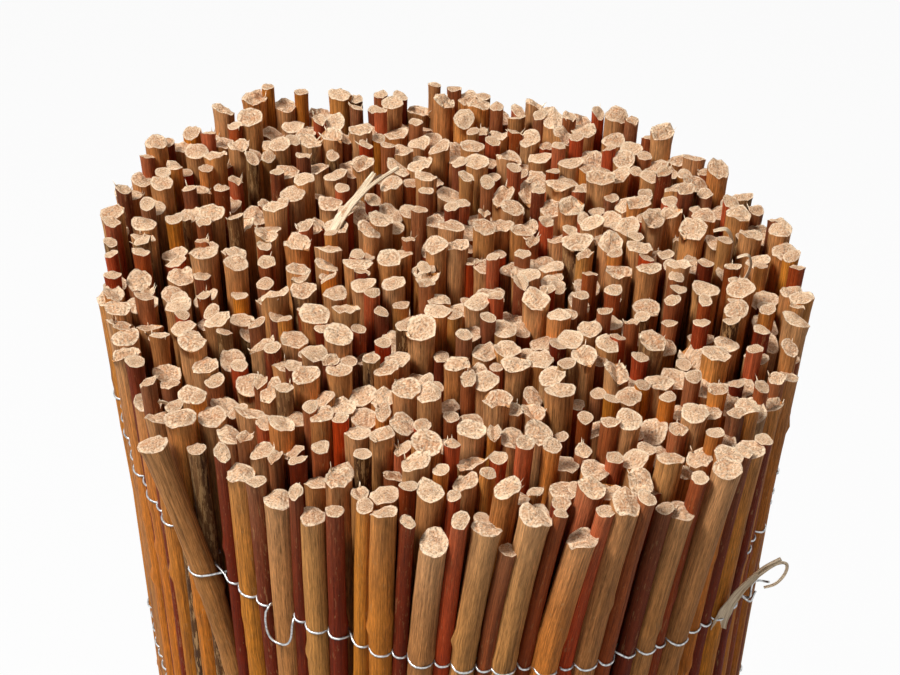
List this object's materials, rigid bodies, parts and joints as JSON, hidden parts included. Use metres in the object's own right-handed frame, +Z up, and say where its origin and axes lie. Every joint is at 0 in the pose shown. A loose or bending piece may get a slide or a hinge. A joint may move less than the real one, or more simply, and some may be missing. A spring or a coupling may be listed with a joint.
{
  "type": "willow screening roll",
  "caption": "Mat of upright willow rods bound side by side with rows of thin galvanised wire, wound into a tight roll that stands on its end.",
  "frame": {"origin": "on the ground, at the centre of the roll's footprint", "axes": "+Z up along the rods, from their feet to their upper ends; -Y towards the picture's viewer"},
  "size_m": [0.2734, 0.2742, 1.0003],
  "materials": {
    "willow": "rough bark, cut ends pale",
    "galvanised_wire": "dull zinc"
  },
  "bodies": {
    "root": {"rods_turn_01": "willow", "rods_turn_02": "willow", "rods_turn_03": "willow", "rods_turn_04": "willow", "rods_turn_05": "willow", "rods_turn_06": "willow", "rods_turn_07": "willow", "rods_turn_08": "willow", "rods_turn_09": "willow", "rods_turn_10": "willow", "rods_turn_11": "willow", "rods_turn_12": "willow", "wire_row_1": "galvanised_wire", "wire_row_2": "galvanised_wire", "wire_row_3": "galvanised_wire", "wire_row_4": "galvanised_wire", "wire_row_5": "galvanised_wire", "wire_row_6": "galvanised_wire", "wire_row_7": "galvanised_wire", "wire_row_8": "galvanised_wire"}
  },
  "joints": []
}
